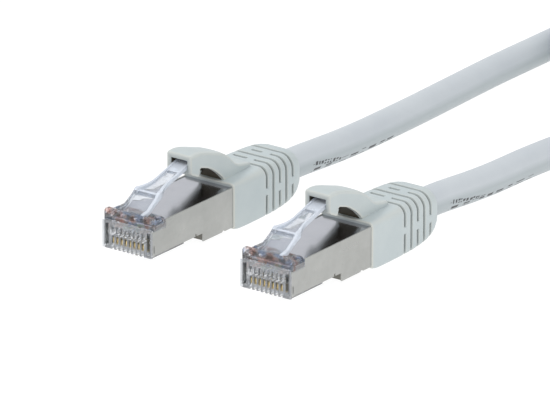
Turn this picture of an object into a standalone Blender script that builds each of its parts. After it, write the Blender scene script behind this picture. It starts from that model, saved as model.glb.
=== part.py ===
"""Shielded ethernet patch cable: two modular plugs joined by one cable.

Run with: blender --background --python part.py
Units are metres. +Y runs from a plug's nose to its cable, +X to the right, +Z up.
The surface that the plugs lie on is z = 0, and the origin is midway between them.
Each plug is drawn in its own plug coordinates (x across from its middle plane, y back
from its nose, z up from the surface), under an empty that stands at its place.
"""

import math

import bmesh
import bpy
from mathutils import Matrix, Vector

MM = 0.001
GAP = 0.3 * MM
OVERCUT = 1.0 * MM

# The two plugs
PLUG_LENGTH = 48.6 * MM
PLUG_SPACING = 33.8 * MM
PLUG_STAGGER = 1.4 * MM

# Clear housing
NOSE_HALF_WIDTH = 5.4 * MM
BLOCK_HALF_WIDTH = 5.85 * MM
HOUSING_BOTTOM = 2.6 * MM
HOUSING_LENGTH = 19.0 * MM
LEDGE_TOP = 7.8 * MM
BLOCK_FRONT = 0.6 * MM
BLOCK_REAR = 4.2 * MM
BLOCK_TOP = 9.45 * MM
REAR_TOP = 8.5 * MM
CAVITY_HALF_WIDTH = 4.55 * MM
CAVITY_BOTTOM = 5.6 * MM
CAVITY_TOP = 8.15 * MM

# Contacts and conductors
CONTACT_COUNT = 8
CONTACT_PITCH = 1.016 * MM
CONTACT_THICKNESS = 0.35 * MM
CONTACT_BOTTOM = 2.95 * MM
SLOT_WIDTH = 0.62 * MM
SLOT_LENGTH = 5.2 * MM
WIRE_RADIUS = 0.475 * MM
LOWER_WIRE_Z = 6.35 * MM
UPPER_WIRE_Z = 7.45 * MM
WIRE_FRONT = 1.9 * MM
BUNDLE_SQUEEZE = 0.5
BUNDLE_HALF_HEIGHT = 0.56 * MM
LOAD_BAR_FRONT = 7.5 * MM
LOAD_BAR_REAR = 12.5 * MM

# Shield
SHIELD_HALF_WIDTH = 5.85 * MM
SHEET = 0.3 * MM
SHIELD_LENGTH = 25.0 * MM
PLATE_TOP = 8.95 * MM
BELLY_FRONT = 16.1 * MM
BELLY_BOTTOM = 0.9 * MM
TONGUE_HALF_WIDTH = 2.0 * MM
TONGUE_END = 30.0 * MM

# Boot, hood and tab: hinge points are (y, z)
BOOT_FRONT = 25.3 * MM
POCKET_HALF_WIDTH = 5.2 * MM
POCKET_BOTTOM = 0.65 * MM
POCKET_TOP = 8.8 * MM
PLATFORM_HALF_WIDTH = 3.0 * MM
HOOD_SLOT_HALF_WIDTH = 2.05 * MM
HOOD_HINGE = (28.0 * MM, 10.3 * MM)
TAB_HINGE = (2.0 * MM, 10.15 * MM)
TAB_HALF_WIDTH = 3.0 * MM
TAIL_HALF_WIDTH = 1.75 * MM
TAB_SHOULDER = 6.7 * MM
TAB_NECK = 7.5 * MM

# Grooves round the boot's rear half, some broken by bridges at mid-side or mid-top
GROOVE_COUNT = 5
SIDE_BRIDGED = (0, 2, 4)
TOP_BRIDGED = (0, 1, 3)
FIRST_GROOVE = 36.35 * MM
GROOVE_PITCH = 2.13 * MM
GROOVE_WIDTH = 0.5 * MM
GROOVE_DEPTH = 0.8 * MM
SHARPEST_CORNER = 0.4 * MM
SIDE_BRIDGE = (4.0 * MM, 5.8 * MM)
TOP_BRIDGE_HALF_WIDTH = 1.1 * MM

# Cable
CABLE_RADIUS = 3.1 * MM
CABLE_EXIT_Z = 4.9 * MM
BORE_RADIUS = 3.4 * MM
JACKET_START = 31.0 * MM
BRAID_RADII = (2.8 * MM, 2.5 * MM)
FERRULE_RADII = (3.3 * MM, 2.9 * MM)
SHARP_ANGLE = math.radians(40)

# Hank: three strands wide and two high, on the surface
FOLD_RADIUS = 18.6 * MM
HANK_OUTER = FOLD_RADIUS + 3 * CABLE_RADIUS
HANK_INNER = FOLD_RADIUS - CABLE_RADIUS
HANK_HEIGHT = CABLE_RADIUS * (2 + math.sqrt(3))
HANK_X = 5.8 * MM
HANK_NEAR_Y = 132.0 * MM
HANK_FAR_Y = 190.9 * MM
TIE_WIDTH = 8.0 * MM
TIE_SHEET = 0.5 * MM

# The cable's way from each boot to the hank, in world coordinates (mm)
ROUTE_A = (
    (-16.9, 25.3, 4.9),
    (-16.9, 33.0, 4.5),
    (-17.1, 42.0, 3.7),
    (-17.4, 51.0, 3.2),
    (-17.6, 60.0, 3.1),
    (-18.0, 73.0, 3.1),
    (-18.6, 88.0, 3.1),
    (-19.0, 101.0, 3.1),
    (-19.0, 113.6, 3.1),
)
ROUTE_B = (
    (16.9, 23.9, 4.9),
    (17.0, 31.5, 4.5),
    (17.2, 40.0, 3.7),
    (17.3, 49.0, 3.2),
    (17.4, 58.0, 3.1),
    (18.0, 68.0, 3.1),
    (20.0, 79.0, 3.1),
    (23.6, 91.0, 3.1),
    (27.4, 103.0, 3.1),
    (29.6, 112.6, 3.1),
)
POINTS_PER_LEG = 2

PLUG_PLACES = {
    "a": (-PLUG_SPACING / 2, (PLUG_STAGGER - PLUG_LENGTH) / 2, 0),
    "b": (PLUG_SPACING / 2, (-PLUG_STAGGER - PLUG_LENGTH) / 2, 0),
}

# The boot's sections (mm): y, half width, bottom, top, upper and lower corner radius
BOOT_SECTIONS = (
    (25.3, 6.10, 0.60, 9.65, 0.9, 0.5),
    (27.5, 6.10, 0.10, 9.75, 1.1, 0.5),
    (31.0, 6.10, 0.00, 9.90, 1.4, 0.6),
    (35.0, 6.10, 0.00, 10.10, 1.8, 0.7),
    (39.0, 6.05, 0.05, 10.25, 2.2, 1.0),
    (42.5, 5.95, 0.30, 10.30, 2.6, 1.6),
    (45.0, 5.70, 0.75, 10.25, 3.0, 2.4),
    (46.8, 5.40, 1.20, 10.10, 3.4, 3.2),
    (48.0, 4.90, 1.70, 9.70, 3.6, 3.6),
    (48.6, 4.40, 2.20, 9.20, 3.4, 3.4),
)

# Side outlines (y, z) in mm
SHIELD_SIDE = (
    (0.0, 2.6),
    (16.1, 2.6),
    (16.1, 0.9),
    (25.0, 0.9),
    (25.0, 9.1),
    (4.4, 9.1),
    (4.4, 7.65),
    (0.0, 7.65),
)
TAB_SIDE = (
    (1.2, 9.75),
    (2.8, 9.75),
    (6.6, 11.9),
    (11.1, 13.0),
    (15.5, 14.4),
    (18.2, 15.1),
    (18.0, 15.9),
    (15.3, 15.2),
    (11.0, 13.8),
    (6.4, 12.75),
    (2.4, 10.6),
    (1.2, 10.6),
)
HOOD_SIDE = (
    (16.3, 13.8),
    (18.6, 12.6),
    (19.0, 14.3),
    (21.2, 13.5),
    (23.9, 12.3),
    (26.2, 10.9),
    (27.7, 10.4),
    (27.7, 13.9),
    (26.6, 14.9),
    (24.4, 16.0),
    (22.0, 17.0),
    (20.3, 17.5),
    (18.6, 17.75),
    (17.0, 17.75),
    (16.3, 17.4),
)
HOOD_HOLLOW = (
    (15.0, 10.0),
    (26.0, 10.0),
    (25.6, 12.2),
    (24.2, 14.2),
    (22.0, 15.8),
    (20.0, 16.4),
    (18.0, 16.6),
    (15.0, 16.6),
)
PLATFORM_SIDE = (
    (28.0, 9.0),
    (35.8, 9.0),
    (35.8, 10.25),
    (34.0, 10.8),
    (30.3, 11.4),
    (29.4, 12.0),
    (28.0, 13.6),
)
CONTACT_FOOT_Y = (1.2 * MM, 5.2 * MM)

# Conductor colours in contact order, the blue pair at contacts 4 and 5
WIRE_COLOURS = (
    (0.85, 0.62, 0.50),
    (0.80, 0.30, 0.12),
    (0.62, 0.78, 0.62),
    (0.10, 0.22, 0.55),
    (0.60, 0.70, 0.85),
    (0.12, 0.42, 0.18),
    (0.72, 0.60, 0.52),
    (0.33, 0.16, 0.09),
)

# A curve's X, Y and Z as plug directions, for an outline extruded along each axis
CURVE_AXES = {
    "x": Matrix(((0, 0, 1, 0), (1, 0, 0, 0), (0, 1, 0, 0), (0, 0, 0, 1))),
    "y": Matrix(((1, 0, 0, 0), (0, 0, -1, 0), (0, 1, 0, 0), (0, 0, 0, 1))),
    "z": Matrix.Identity(4),
}


def clear_scene():
    for obj in list(bpy.data.objects):
        bpy.data.objects.remove(obj, do_unlink=True)


def new_collection(name):
    collection = bpy.data.collections.new(name)
    bpy.context.scene.collection.children.link(collection)
    return collection


def new_material(name, colour, roughness, metallic=0.0, alpha=1.0):
    material = bpy.data.materials.new(name)
    material.use_nodes = True
    shader = material.node_tree.nodes["Principled BSDF"]
    shader.inputs["Base Color"].default_value = (*colour, 1.0)
    shader.inputs["Roughness"].default_value = roughness
    shader.inputs["Metallic"].default_value = metallic
    shader.inputs["Alpha"].default_value = alpha
    return material


clear_scene()
PARTS = new_collection("Ethernet_Patch_Cable")
CUTTERS = new_collection("Cutters")
MATERIALS = {
    "clear": new_material("clear_polycarbonate", (0.80, 0.84, 0.88), 0.08, alpha=0.35),
    "gold": new_material("gold_plating", (0.83, 0.61, 0.25), 0.25, metallic=1.0),
    "nickel": new_material("nickel_plate", (0.56, 0.55, 0.53), 0.32, metallic=1.0),
    "boot": new_material("boot_plastic", (0.50, 0.55, 0.55), 0.50),
    "jacket": new_material("cable_jacket", (0.49, 0.54, 0.57), 0.42),
    "braid": new_material("tinned_braid", (0.62, 0.62, 0.60), 0.45, metallic=1.0),
    "bar": new_material("load_bar_plastic", (0.70, 0.74, 0.78), 0.20, alpha=0.5),
    "tie": new_material("tie_strap", (0.06, 0.06, 0.07), 0.70),
}


def in_mm(points):
    return [tuple(value * MM for value in point) for point in points]


def add_object(name, mesh, material=None, parent=None):
    """A part when it has a material, and otherwise a cutter, which isn't rendered."""
    obj = bpy.data.objects.new(name, mesh)
    if material:
        mesh.materials.append(material)
        PARTS.objects.link(obj)
    else:
        CUTTERS.objects.link(obj)
        obj.hide_render = True
        obj.display_type = "WIRE"
    obj.parent = parent
    return obj


def mesh_from(name, shape):
    mesh = bpy.data.meshes.new(name)
    shape.to_mesh(mesh)
    shape.free()
    return mesh


def shade_round(obj):
    obj.data.shade_smooth()
    obj.data.set_sharp_from_angle(angle=SHARP_ANGLE)


def box(name, low, high, material=None, parent=None):
    shape = bmesh.new()
    bmesh.ops.create_cube(shape, size=1.0)
    low = Vector(low)
    high = Vector(high)
    bmesh.ops.scale(shape, vec=high - low, verts=shape.verts)
    bmesh.ops.translate(shape, vec=(low + high) / 2, verts=shape.verts)
    return add_object(name, mesh_from(name, shape), material, parent)


def mesh_of_curve(name, curve):
    """The curve's evaluated mesh, with its caps welded on."""
    temporary = bpy.data.objects.new(name, curve)
    PARTS.objects.link(temporary)
    graph = bpy.context.evaluated_depsgraph_get()
    mesh = bpy.data.meshes.new_from_object(temporary.evaluated_get(graph))
    bpy.data.objects.remove(temporary, do_unlink=True)
    bpy.data.curves.remove(curve)
    shape = bmesh.new()
    shape.from_mesh(mesh)
    bmesh.ops.remove_doubles(shape, verts=shape.verts, dist=0.002 * MM)
    bmesh.ops.recalc_face_normals(shape, faces=shape.faces)
    shape.to_mesh(mesh)
    shape.free()
    mesh.name = name
    return mesh


def extruded(name, outlines, axis, start, end, material=None, parent=None):
    """Flat outlines, the second and later ones holes, extruded along a plug axis."""
    curve = bpy.data.curves.new(name, "CURVE")
    curve.dimensions = "2D"
    curve.fill_mode = "BOTH"
    curve.extrude = (end - start) / 2
    for outline in outlines:
        spline = curve.splines.new("POLY")
        spline.points.add(len(outline) - 1)
        for point, (u, v) in zip(spline.points, outline):
            point.co = (u, v, 0, 1)
        spline.use_cyclic_u = True
    mesh = mesh_of_curve(name, curve)
    shift = Vector([(start + end) / 2 if axis == letter else 0 for letter in "xyz"])
    mesh.transform(Matrix.Translation(shift) @ CURVE_AXES[axis])
    return add_object(name, mesh, material, parent)


def circle(radius, centre=(0, 0), sides=24):
    angles = (2 * math.pi * step / sides for step in range(sides))
    return [
        (centre[0] + radius * math.cos(a), centre[1] + radius * math.sin(a))
        for a in angles
    ]


def tube(name, points, radius, material, parent=None):
    """A round tube with closed ends along the points, as a curve object."""
    curve = bpy.data.curves.new(name, "CURVE")
    curve.dimensions = "3D"
    curve.bevel_depth = radius
    curve.bevel_resolution = 2
    curve.use_fill_caps = True
    spline = curve.splines.new("POLY")
    spline.points.add(len(points) - 1)
    for point, place in zip(spline.points, points):
        point.co = (*place, 1)
    spline.use_smooth = True
    curve.materials.append(material)
    obj = bpy.data.objects.new(name, curve)
    PARTS.objects.link(obj)
    obj.parent = parent
    return obj


def smooth_way(points, steps):
    """Points read from a smooth curve through the given ones, some to each leg."""
    points = [Vector(point) for point in points]
    padded = [2 * points[0] - points[1], *points, 2 * points[-1] - points[-2]]
    way = []
    for before, start, end, after in zip(padded, padded[1:], padded[2:], padded[3:]):
        for step in range(steps):
            t = step / steps
            way.append(
                (
                    2 * start
                    + (end - before) * t
                    + (2 * before - 5 * start + 4 * end - after) * t**2
                    + (3 * start - before - 3 * end + after) * t**3
                )
                / 2
            )
    way.append(points[-1])
    return way


def combine(target, others, operation):
    for other in others:
        modifier = target.modifiers.new(other.name, "BOOLEAN")
        modifier.operation = operation
        modifier.solver = "EXACT"
        modifier.object = other


def set_origin(obj, y, z):
    """Puts the object's origin on its hinge, without moving its shape."""
    point = Vector((0, y, z))
    obj.data.transform(Matrix.Translation(-point))
    obj.location = point


def contact_x(index):
    return (index - (CONTACT_COUNT - 1) / 2) * CONTACT_PITCH


def wire_z(index):
    """The conductors sit in two staggered rows, the outer left one in the lower row."""
    return UPPER_WIRE_Z if index % 2 else LOWER_WIRE_Z


def make_housing(side, plug):
    housing = box(
        "plug_housing_" + side,
        (-NOSE_HALF_WIDTH, 0, HOUSING_BOTTOM),
        (NOSE_HALF_WIDTH, HOUSING_LENGTH, LEDGE_TOP),
        MATERIALS["clear"],
        plug,
    )
    block = box(
        "housing_block_" + side,
        (-BLOCK_HALF_WIDTH, BLOCK_FRONT, LEDGE_TOP - GAP / 3),
        (BLOCK_HALF_WIDTH, BLOCK_REAR, BLOCK_TOP),
        parent=plug,
    )
    rear = box(
        "housing_rear_" + side,
        (-NOSE_HALF_WIDTH, BLOCK_REAR - OVERCUT, LEDGE_TOP - OVERCUT),
        (NOSE_HALF_WIDTH, HOUSING_LENGTH, REAR_TOP),
        parent=plug,
    )
    combine(housing, (block, rear), "UNION")
    undercut = box(
        "housing_undercut_" + side,
        (-BLOCK_HALF_WIDTH, 2 * SLOT_LENGTH, 0),
        (BLOCK_HALF_WIDTH, HOUSING_LENGTH + OVERCUT, HOUSING_BOTTOM + 2 * SHEET),
        parent=plug,
    )
    cavity = box(
        "housing_cavity_" + side,
        (-CAVITY_HALF_WIDTH, WIRE_FRONT - GAP, CAVITY_BOTTOM),
        (CAVITY_HALF_WIDTH, HOUSING_LENGTH + OVERCUT, CAVITY_TOP),
        parent=plug,
    )
    throat = box(
        "housing_throat_" + side,
        (-CAVITY_HALF_WIDTH, LOAD_BAR_REAR + OVERCUT, CAVITY_BOTTOM - 2 * OVERCUT),
        (CAVITY_HALF_WIDTH, HOUSING_LENGTH + OVERCUT, CAVITY_TOP),
        parent=plug,
    )
    slots = [
        box(
            f"contact_slot_{index + 1}_{side}",
            (contact_x(index) - SLOT_WIDTH / 2, -OVERCUT, 0),
            (contact_x(index) + SLOT_WIDTH / 2, SLOT_LENGTH + GAP, CAVITY_BOTTOM + GAP),
            parent=plug,
        )
        for index in range(CONTACT_COUNT)
    ]
    combine(housing, (undercut, cavity, throat, *slots), "DIFFERENCE")


def make_contacts(side, plug):
    """Each contact is a blade whose tip ends just below its conductor."""
    front, rear = CONTACT_FOOT_Y
    for index in range(CONTACT_COUNT):
        tip = wire_z(index) - WIRE_RADIUS - GAP / 2
        foot_top = CONTACT_BOTTOM + 2 * OVERCUT
        outline = (
            (front, CONTACT_BOTTOM),
            (rear, CONTACT_BOTTOM + GAP),
            (rear, foot_top),
            (rear - OVERCUT, foot_top),
            (rear - OVERCUT, tip),
            (front + OVERCUT, tip),
            (front + OVERCUT, foot_top),
            (front, foot_top),
        )
        x = contact_x(index)
        extruded(
            f"contact_{index + 1}_{side}",
            [outline],
            "x",
            x - CONTACT_THICKNESS / 2,
            x + CONTACT_THICKNESS / 2,
            MATERIALS["gold"],
            plug,
        )


def wire_way(index):
    x = contact_x(index)
    z = wire_z(index)
    row = BUNDLE_HALF_HEIGHT if index % 2 else -BUNDLE_HALF_HEIGHT
    bundle_x = x * BUNDLE_SQUEEZE
    bundle_z = CABLE_EXIT_Z + row
    turn_start = LOAD_BAR_REAR + OVERCUT
    turn_end = SHIELD_LENGTH
    way = [(x, WIRE_FRONT, z)]
    for step in range(5):
        t = step / 4
        ease = t * t * (3 - 2 * t)
        y = turn_start + (turn_end - turn_start) * t
        way.append((x + (bundle_x - x) * ease, y, z + (bundle_z - z) * ease))
    way.append((bundle_x, JACKET_START - GAP, bundle_z))
    return way


def make_wires(side, plug):
    for index, colour in enumerate(WIRE_COLOURS):
        name = f"conductor_{index + 1}_{side}"
        material = new_material(name, colour, 0.35)
        tube(name, wire_way(index), WIRE_RADIUS, material, plug)


def make_load_bar(side, plug):
    bar = box(
        "load_bar_" + side,
        (-CAVITY_HALF_WIDTH + GAP / 2, LOAD_BAR_FRONT, CAVITY_BOTTOM + GAP / 2),
        (CAVITY_HALF_WIDTH - GAP / 2, LOAD_BAR_REAR, CAVITY_TOP - GAP / 2),
        MATERIALS["bar"],
        plug,
    )
    hole_radius = WIRE_RADIUS + GAP / 5
    slots = []
    for index in range(CONTACT_COUNT):
        x = contact_x(index)
        z = wire_z(index)
        upper = z > LOWER_WIRE_Z
        low = z - hole_radius if upper else 0
        high = CAVITY_TOP + OVERCUT if upper else z + hole_radius
        slots.append(
            box(
                f"load_bar_slot_{index + 1}_{side}",
                (x - hole_radius, LOAD_BAR_FRONT - OVERCUT, low),
                (x + hole_radius, LOAD_BAR_REAR + OVERCUT, high),
                parent=plug,
            )
        )
    combine(bar, slots, "DIFFERENCE")


def make_shield(side, plug):
    outline = in_mm(SHIELD_SIDE)
    inner = SHIELD_HALF_WIDTH - SHEET
    shield = extruded(
        "shield_shell_" + side,
        [outline],
        "x",
        inner,
        SHIELD_HALF_WIDTH,
        MATERIALS["nickel"],
        plug,
    )
    left = extruded(
        "shield_left_" + side, [outline], "x", -SHIELD_HALF_WIDTH, -inner, parent=plug
    )
    reach = SHIELD_HALF_WIDTH - SHEET / 2
    plates = {
        "top": (
            (-reach, BLOCK_REAR + GAP, PLATE_TOP - SHEET),
            (reach, SHIELD_LENGTH - GAP, PLATE_TOP),
        ),
        "floor": (
            (-reach, 2 * SLOT_LENGTH + GAP, HOUSING_BOTTOM + GAP / 3),
            (reach, BELLY_FRONT + SHEET / 2, HOUSING_BOTTOM + GAP / 3 + SHEET),
        ),
        "belly": (
            (-reach, BELLY_FRONT + GAP / 3, BELLY_BOTTOM + GAP / 3),
            (reach, SHIELD_LENGTH - GAP, BELLY_BOTTOM + GAP / 3 + SHEET),
        ),
        "belly_front": (
            (-reach, BELLY_FRONT + GAP / 3, BELLY_BOTTOM + GAP / 3),
            (reach, BELLY_FRONT + GAP / 3 + SHEET, HOUSING_BOTTOM + SHEET),
        ),
        "tongue": (
            (-TONGUE_HALF_WIDTH, SHIELD_LENGTH - OVERCUT, BELLY_BOTTOM + GAP / 3),
            (TONGUE_HALF_WIDTH, TONGUE_END, BELLY_BOTTOM + GAP / 3 + SHEET),
        ),
    }
    pieces = [
        box(f"shield_{name}_{side}", low, high, parent=plug)
        for name, (low, high) in plates.items()
    ]
    combine(shield, (left, *pieces), "UNION")


def make_tab(side, plug):
    tab = extruded(
        "locking_tab_" + side,
        [in_mm(TAB_SIDE)],
        "x",
        -TAB_HALF_WIDTH,
        TAB_HALF_WIDTH,
        MATERIALS["clear"],
        plug,
    )
    half_plan = (
        (TAB_HALF_WIDTH, 0),
        (TAB_HALF_WIDTH, TAB_SHOULDER),
        (TAIL_HALF_WIDTH, TAB_NECK),
        (TAIL_HALF_WIDTH, SHIELD_LENGTH),
    )
    plan = half_plan + tuple((-x, y) for x, y in reversed(half_plan))
    keep = extruded("tab_plan_" + side, [plan], "z", 0, SHIELD_LENGTH, parent=plug)
    combine(tab, (keep,), "INTERSECT")
    set_origin(tab, *TAB_HINGE)


def make_hood(side, plug):
    hood = extruded(
        "tab_hood_" + side,
        [in_mm(HOOD_SIDE)],
        "x",
        -PLATFORM_HALF_WIDTH,
        PLATFORM_HALF_WIDTH,
        MATERIALS["boot"],
        plug,
    )
    hollow = extruded(
        "hood_hollow_" + side,
        [in_mm(HOOD_HOLLOW)],
        "x",
        -HOOD_SLOT_HALF_WIDTH,
        HOOD_SLOT_HALF_WIDTH,
        parent=plug,
    )
    combine(hood, (hollow,), "DIFFERENCE")
    set_origin(hood, *HOOD_HINGE)


def rounded_rectangle(half_width, bottom, top, upper, lower, per_corner=6):
    corners = (
        (half_width - upper, top - upper, upper),
        (upper - half_width, top - upper, upper),
        (lower - half_width, bottom + lower, lower),
        (half_width - lower, bottom + lower, lower),
    )
    points = []
    for quarter, (x, z, radius) in enumerate(corners):
        for step in range(per_corner):
            angle = math.pi / 2 * (quarter + step / (per_corner - 1))
            points.append((x + radius * math.cos(angle), z + radius * math.sin(angle)))
    return points


def boot_section(y):
    """Half width, bottom, top and corner radii of the boot at a distance from the nose."""
    sections = in_mm(BOOT_SECTIONS)
    for first, second in zip(sections, sections[1:]):
        if y <= second[0]:
            t = (y - first[0]) / (second[0] - first[0])
            return [a + (b - a) * t for a, b in zip(first[1:], second[1:])]
    return list(sections[-1][1:])


def loft(name, rings, material, parent):
    """A closed skin over rings that have the same number of points."""
    shape = bmesh.new()
    loops = [[shape.verts.new(point) for point in ring] for ring in rings]
    for first, second in zip(loops, loops[1:]):
        for index in range(len(first)):
            after = (index + 1) % len(first)
            shape.faces.new((first[index], first[after], second[after], second[index]))
    shape.faces.new(loops[0])
    shape.faces.new(loops[-1])
    bmesh.ops.recalc_face_normals(shape, faces=shape.faces)
    skin = add_object(name, mesh_from(name, shape), material, parent)
    shade_round(skin)
    return skin


def make_groove_cutters(side, plug):
    """Rings round the boot, each with a bridge left where it doesn't run through."""
    cutters = []
    for index in range(GROOVE_COUNT):
        y = FIRST_GROOVE + index * GROOVE_PITCH
        half_width, bottom, top, upper, lower = boot_section(y)
        inner = rounded_rectangle(
            half_width - GROOVE_DEPTH,
            bottom + GROOVE_DEPTH,
            top - GROOVE_DEPTH,
            max(upper - GROOVE_DEPTH, SHARPEST_CORNER),
            max(lower - GROOVE_DEPTH, SHARPEST_CORNER),
        )
        reach = half_width + OVERCUT
        outer = (
            (reach, top + 2 * OVERCUT),
            (-reach, top + 2 * OVERCUT),
            (-reach, bottom - OVERCUT),
            (reach, bottom - OVERCUT),
        )
        name = f"groove_{index + 1}_{side}"
        ring = extruded(
            name,
            [outer, inner],
            "y",
            y - GROOVE_WIDTH / 2,
            y + GROOVE_WIDTH / 2,
            parent=plug,
        )
        bridges = []
        if index in SIDE_BRIDGED:
            bridges.append(
                box(
                    name + "_side_bridge",
                    (-2 * reach, y - OVERCUT, SIDE_BRIDGE[0]),
                    (2 * reach, y + OVERCUT, SIDE_BRIDGE[1]),
                    parent=plug,
                )
            )
        if index in TOP_BRIDGED:
            bridges.append(
                box(
                    name + "_top_bridge",
                    (-TOP_BRIDGE_HALF_WIDTH, y - OVERCUT, CABLE_EXIT_Z),
                    (TOP_BRIDGE_HALF_WIDTH, y + OVERCUT, top + 3 * OVERCUT),
                    parent=plug,
                )
            )
        combine(ring, bridges, "DIFFERENCE")
        cutters.append(ring)
    return cutters


def make_boot(side, plug):
    rings = []
    for y, *section in in_mm(BOOT_SECTIONS):
        rings.append([(x, y, z) for x, z in rounded_rectangle(*section)])
    boot = loft("strain_boot_" + side, rings, MATERIALS["boot"], plug)
    platform = extruded(
        "hood_platform_" + side,
        [in_mm(PLATFORM_SIDE)],
        "x",
        -PLATFORM_HALF_WIDTH,
        PLATFORM_HALF_WIDTH,
        parent=plug,
    )
    combine(boot, (platform,), "UNION")
    pocket = box(
        "boot_pocket_" + side,
        (-POCKET_HALF_WIDTH, BOOT_FRONT - OVERCUT, POCKET_BOTTOM),
        (POCKET_HALF_WIDTH, JACKET_START, POCKET_TOP),
        parent=plug,
    )
    bore = extruded(
        "boot_bore_" + side,
        [circle(BORE_RADIUS, (0, CABLE_EXIT_Z))],
        "y",
        JACKET_START - OVERCUT,
        PLUG_LENGTH + OVERCUT,
        parent=plug,
    )
    combine(boot, (pocket, bore, *make_groove_cutters(side, plug)), "DIFFERENCE")


def make_cable_end(side, plug):
    """What the boot hides: the stripped cable, its braid and the crimped ferrule."""
    sleeve_end = JACKET_START - GAP
    for name, radii, start, end, material in (
        ("cable_jacket_end_", (CABLE_RADIUS,), JACKET_START, PLUG_LENGTH, "jacket"),
        ("braid_collar_", BRAID_RADII, SHIELD_LENGTH + OVERCUT, sleeve_end, "braid"),
        ("crimp_ferrule_", FERRULE_RADII, SHIELD_LENGTH + 2 * OVERCUT, sleeve_end, "nickel"),
    ):
        rings = [circle(radius, (0, CABLE_EXIT_Z)) for radius in radii]
        piece = extruded(name + side, rings, "y", start, end, MATERIALS[material], plug)
        shade_round(piece)


def stadium(centre_x, near_y, far_y, radius, steps=16):
    """A straight-sided outline with half-round ends, in the plane of the surface."""
    points = []
    for step in range(steps + 1):
        angle = math.pi * step / steps
        points.append((centre_x + radius * math.cos(angle), far_y + radius * math.sin(angle)))
    for step in range(steps + 1):
        angle = math.pi * (1 + step / steps)
        points.append((centre_x + radius * math.cos(angle), near_y + radius * math.sin(angle)))
    return points


def make_cable():
    for side, route in (("a", ROUTE_A), ("b", ROUTE_B)):
        way = smooth_way(in_mm(route), POINTS_PER_LEG)
        tube("cable_run_" + side, way, CABLE_RADIUS, MATERIALS["jacket"])
    hank = extruded(
        "cable_hank",
        [
            stadium(HANK_X, HANK_NEAR_Y, HANK_FAR_Y, HANK_OUTER),
            stadium(HANK_X, HANK_NEAR_Y, HANK_FAR_Y, HANK_INNER),
        ],
        "z",
        0,
        HANK_HEIGHT,
        MATERIALS["jacket"],
    )
    shade_round(hank)
    tie_y = (HANK_NEAR_Y + HANK_FAR_Y) / 2
    strand_inner = HANK_X + HANK_INNER
    strand_outer = HANK_X + HANK_OUTER
    recess = box(
        "tie_recess",
        (strand_inner - OVERCUT, tie_y - TIE_WIDTH / 2 - GAP, -OVERCUT),
        (strand_outer + OVERCUT, tie_y + TIE_WIDTH / 2 + GAP, TIE_SHEET + GAP),
    )
    combine(hank, (recess,), "DIFFERENCE")
    loops = []
    for reach in (GAP + TIE_SHEET, GAP):
        bottom = GAP + TIE_SHEET - reach
        top = HANK_HEIGHT + reach
        loops.append(
            (
                (strand_outer + reach, top),
                (strand_inner - reach, top),
                (strand_inner - reach, bottom),
                (strand_outer + reach, bottom),
            )
        )
    extruded(
        "hank_tie",
        loops,
        "y",
        tie_y - TIE_WIDTH / 2,
        tie_y + TIE_WIDTH / 2,
        MATERIALS["tie"],
    )


def make_plug(side):
    plug = bpy.data.objects.new("plug_place_" + side, None)
    PARTS.objects.link(plug)
    plug.location = PLUG_PLACES[side]
    make_housing(side, plug)
    make_contacts(side, plug)
    make_wires(side, plug)
    make_load_bar(side, plug)
    make_shield(side, plug)
    make_tab(side, plug)
    make_hood(side, plug)
    make_boot(side, plug)
    make_cable_end(side, plug)


for plug_side in PLUG_PLACES:
    make_plug(plug_side)
make_cable()
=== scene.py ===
"""Shielded ethernet patch cable: its looks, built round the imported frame.

Shapes are written in millimetres. A plug's own coordinates are x across from its middle
plane, y back from its nose and z up from the floor, as in the CAD part.
"""

import math
import random

import bmesh
import bpy
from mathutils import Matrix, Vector
from mathutils import noise as noise_of


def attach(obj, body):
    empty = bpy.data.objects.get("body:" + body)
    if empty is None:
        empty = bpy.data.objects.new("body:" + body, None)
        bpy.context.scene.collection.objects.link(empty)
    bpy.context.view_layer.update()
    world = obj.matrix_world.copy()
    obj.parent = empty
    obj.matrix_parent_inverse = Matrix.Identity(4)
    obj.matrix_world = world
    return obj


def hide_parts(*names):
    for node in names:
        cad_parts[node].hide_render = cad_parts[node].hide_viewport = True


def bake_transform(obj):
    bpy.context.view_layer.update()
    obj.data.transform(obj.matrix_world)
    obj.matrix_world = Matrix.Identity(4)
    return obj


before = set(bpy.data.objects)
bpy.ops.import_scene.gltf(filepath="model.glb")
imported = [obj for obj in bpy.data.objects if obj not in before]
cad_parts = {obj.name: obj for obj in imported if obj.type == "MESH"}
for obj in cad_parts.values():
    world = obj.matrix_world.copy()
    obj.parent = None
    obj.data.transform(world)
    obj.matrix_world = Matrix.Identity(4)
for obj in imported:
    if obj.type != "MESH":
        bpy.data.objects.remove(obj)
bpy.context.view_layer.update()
ROOT = "plugs_and_cable"

# Where each plug's nose stands: the plugs lie side by side, and a is a little further back.
PLUG_LENGTH = 48.6
PLUG_SPACING = 33.8
PLUG_STAGGER = 1.4
PLUGS = {
    "a": Vector((-PLUG_SPACING / 2, (PLUG_STAGGER - PLUG_LENGTH) / 2, 0)),
    "b": Vector((PLUG_SPACING / 2, (-PLUG_STAGGER - PLUG_LENGTH) / 2, 0)),
}
CONTACT_COUNT = 8
CONTACT_PITCH = 1.016

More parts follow.
